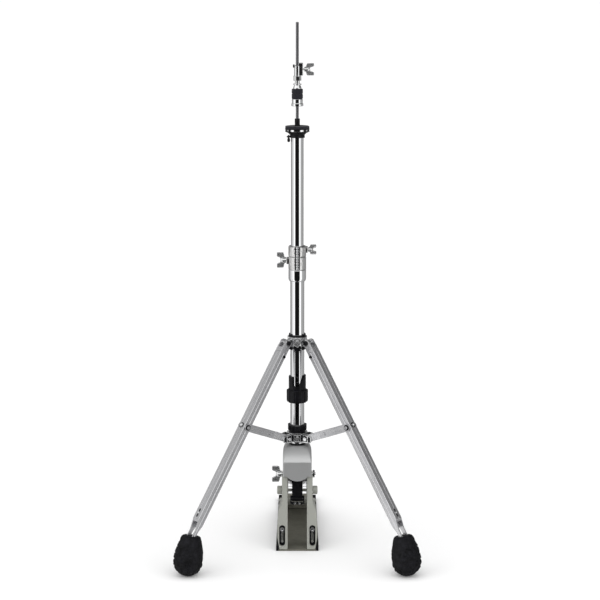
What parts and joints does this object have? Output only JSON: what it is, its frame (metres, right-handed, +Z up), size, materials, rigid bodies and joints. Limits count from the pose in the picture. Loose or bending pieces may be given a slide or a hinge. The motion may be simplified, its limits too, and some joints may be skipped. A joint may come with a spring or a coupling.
{
  "type": "hi-hat stand",
  "caption": "Two-legged hi-hat cymbal stand with a direct-pull foot pedal on a base plate, telescoping chrome tube, clutch and folding braced legs; without cymbals.",
  "frame": {"origin": "where the main tube's axis meets the floor, on the underside of the base plate", "axes": "+Z up along the tube; +Y along the pedal, away from the legs; +X to the right when the legs point to the viewer"},
  "size_m": [0.4906, 0.5673, 1.081],
  "materials": {
    "chrome": "polished chrome plate",
    "steel": "bright drawn steel",
    "aluminium": "satin extruded aluminium",
    "grey_casting": "fine silver-grey powder coat",
    "dark_plate": "dark grey coated steel plate",
    "black_plastic": "black moulded nylon",
    "rubber": "black rubber",
    "felt": "dark grey pressed felt"
  },
  "bodies": {
    "stand": {"base_plate": "dark_plate", "base_trim": "rubber", "heel_plate": "dark_plate", "heel_pin": "steel", "pedal_yoke": "grey_casting", "cross_axle": "grey_casting", "frame_hood": "grey_casting", "frame_nut": "chrome", "lower_tube": "chrome", "clamp_bushing": "black_plastic", "tube_clamp": "chrome", "return_spring": "steel"},
    "left_spur": {"left_spur": "chrome"},
    "right_spur": {"right_spur": "chrome"},
    "frame_screw": {"frame_wing_screw": "chrome"},
    "footboard": {"footboard": "grey_casting", "toe_clamp": "dark_plate", "toe_pin": "steel"},
    "pull_rod": {"pull_rod": "steel", "upper_rod": "steel", "rod_coupler": "steel", "rod_fork": "steel", "strap_pin": "steel"},
    "strap": {"strap": "rubber"},
    "clutch": {"clutch_body": "chrome", "clutch_top_nut": "chrome", "upper_felt": "felt", "lower_felt": "felt", "clutch_lower_nut": "chrome"},
    "clutch_screw": {"clutch_wing_screw": "chrome"},
    "upper_tube": {"upper_tube": "chrome", "seat_stem": "black_plastic"},
    "seat": {"seat_cup": "black_plastic", "seat_felt": "felt"},
    "tilt_screw": {"tilt_screw": "black_plastic"},
    "height_screw": {"height_wing_screw": "chrome"},
    "memory_lock": {"memory_lock": "chrome"},
    "memory_screw": {"memory_wing_screw": "chrome"},
    "tension_sleeve": {"tension_sleeve": "black_plastic", "spring_seat": "steel"},
    "tension_knob": {"tension_knob": "black_plastic"},
    "lower_hub": {"lower_hub": "chrome", "lock_collar": "black_plastic", "left_brace_bolt": "black_plastic", "right_brace_bolt": "black_plastic"},
    "leg_hub": {"leg_hub": "chrome", "hub_bushing": "black_plastic", "left_leg_bolt": "black_plastic", "right_leg_bolt": "black_plastic"},
    "left_leg": {"left_leg": "aluminium", "left_leg_bracket": "aluminium", "left_foot": "rubber"},
    "right_leg": {"right_leg": "aluminium", "right_leg_bracket": "aluminium", "right_foot": "rubber"},
    "left_brace": {"left_brace": "aluminium", "left_brace_bracket": "aluminium"},
    "right_brace": {"right_brace": "aluminium", "right_brace_bracket": "aluminium"}
  },
  "joints": [
    {"name": "footboard_hinge", "type": "hinge", "parent": "stand", "child": "footboard", "pos_m": [0, 0.258, 0.02], "axis": [1, 0, 0], "range_deg": [0, 5.3], "stiffness_Nm_per_rad": 16, "springref_deg": -12.61},
    {"name": "rod_slide", "type": "slide", "parent": "stand", "child": "pull_rod", "axis": [0, 0, -1], "range_m": [0, 0.02477], "deforming": ["return_spring"]},
    {"name": "strap_hinge", "type": "hinge", "parent": "pull_rod", "child": "strap", "pos_m": [0, 0, 0.148], "axis": [-1, 0, 0], "range_deg": [0, 8.4]},
    {"name": "clutch_slide", "type": "slide", "parent": "pull_rod", "child": "clutch", "axis": [0, 0, 1], "range_m": [0, 0.07]},
    {"name": "clutch_screw_turn", "type": "hinge", "parent": "clutch", "child": "clutch_screw", "pos_m": [0.0134, 0, 0.9879], "axis": [1, 0, 0], "range_deg": [-180, 180]},
    {"name": "upper_tube_slide", "type": "slide", "parent": "stand", "child": "upper_tube", "axis": [0, 0, 1], "range_m": [-0.11, 0]},
    {"name": "seat_tilt", "type": "hinge", "parent": "upper_tube", "child": "seat", "pos_m": [0.0155, 0, 0.8582], "axis": [0, 1, 0], "range_deg": [0, 4]},
    {"name": "tilt_screw_turn", "type": "hinge", "parent": "upper_tube", "child": "tilt_screw", "pos_m": [-0.01723, -0.00304, 0.85], "axis": [0, 0, 1], "range_deg": [-180, 180]},
    {"name": "height_screw_turn", "type": "hinge", "parent": "stand", "child": "height_screw", "pos_m": [-0.0224, 0, 0.604], "axis": [-1, 0, 0], "range_deg": [-180, 180]},
    {"name": "memory_lock_slide", "type": "slide", "parent": "stand", "child": "memory_lock", "axis": [0, 0, 1], "range_m": [0, 0.08]},
    {"name": "memory_screw_turn", "type": "hinge", "parent": "memory_lock", "child": "memory_screw", "pos_m": [0.0219, 0, 0.6255], "axis": [1, 0, 0], "range_deg": [-180, 180]},
    {"name": "tension_slide", "type": "slide", "parent": "stand", "child": "tension_sleeve", "axis": [0, 0, 1], "range_m": [-0.03, 0.025]},
    {"name": "tension_knob_turn", "type": "hinge", "parent": "tension_sleeve", "child": "tension_knob", "pos_m": [0, 0, 0.3225], "axis": [0, 0, 1], "range_deg": [-180, 180]},
    {"name": "leg_swivel", "type": "hinge", "parent": "stand", "child": "lower_hub", "pos_m": [0, 0, 0.2384], "axis": [0, 0, 1], "range_deg": [-30, 30]},
    {"name": "leg_fold", "type": "slide", "parent": "lower_hub", "child": "leg_hub", "axis": [0, 0, 1], "range_m": [0, 0.10094]},
    {"name": "left_leg_hinge", "type": "hinge", "parent": "leg_hub", "child": "left_leg", "pos_m": [-0.0234, -0.02034, 0.437], "axis": [0.6561, -0.7547, 0], "range_deg": [0, 25.29]},
    {"name": "left_brace_hinge", "type": "hinge", "parent": "lower_hub", "child": "left_brace", "pos_m": [-0.02566, -0.02231, 0.2384], "axis": [-0.6561, 0.7547, 0], "range_deg": [0, 54.34]},
    {"name": "right_leg_hinge", "type": "hinge", "parent": "leg_hub", "child": "right_leg", "pos_m": [0.0234, -0.02034, 0.437], "axis": [0.6561, 0.7547, 0], "range_deg": [0, 25.29]},
    {"name": "right_brace_hinge", "type": "hinge", "parent": "lower_hub", "child": "right_brace", "pos_m": [0.02566, -0.02231, 0.2384], "axis": [-0.6561, -0.7547, 0], "range_deg": [0, 54.34]},
    {"name": "frame_screw_turn", "type": "hinge", "parent": "stand", "child": "frame_screw", "pos_m": [-0.0315, -0.02, 0.162], "axis": [-1, 0, 0], "range_deg": [-180, 180]},
    {"name": "left_spur_slide", "type": "slide", "parent": "stand", "child": "left_spur", "axis": [0, 0, -1], "range_m": [0, 0.01]},
    {"name": "right_spur_slide", "type": "slide", "parent": "stand", "child": "right_spur", "axis": [0, 0, -1], "range_m": [0, 0.01]}
  ],
  "couplings": [
    {"joint": "rod_slide", "follows": "footboard_hinge", "m_per_rad": 0.26667},
    {"joint": "strap_hinge", "follows": "footboard_hinge", "ratio": 1.5825},
    {"joint": "left_leg_hinge", "follows": "leg_fold", "rad_per_m": 4.3717},
    {"joint": "left_brace_hinge", "follows": "leg_fold", "rad_per_m": 9.3942},
    {"joint": "right_leg_hinge", "follows": "leg_fold", "rad_per_m": 4.3717},
    {"joint": "right_brace_hinge", "follows": "leg_fold", "rad_per_m": 9.3942}
  ]
}
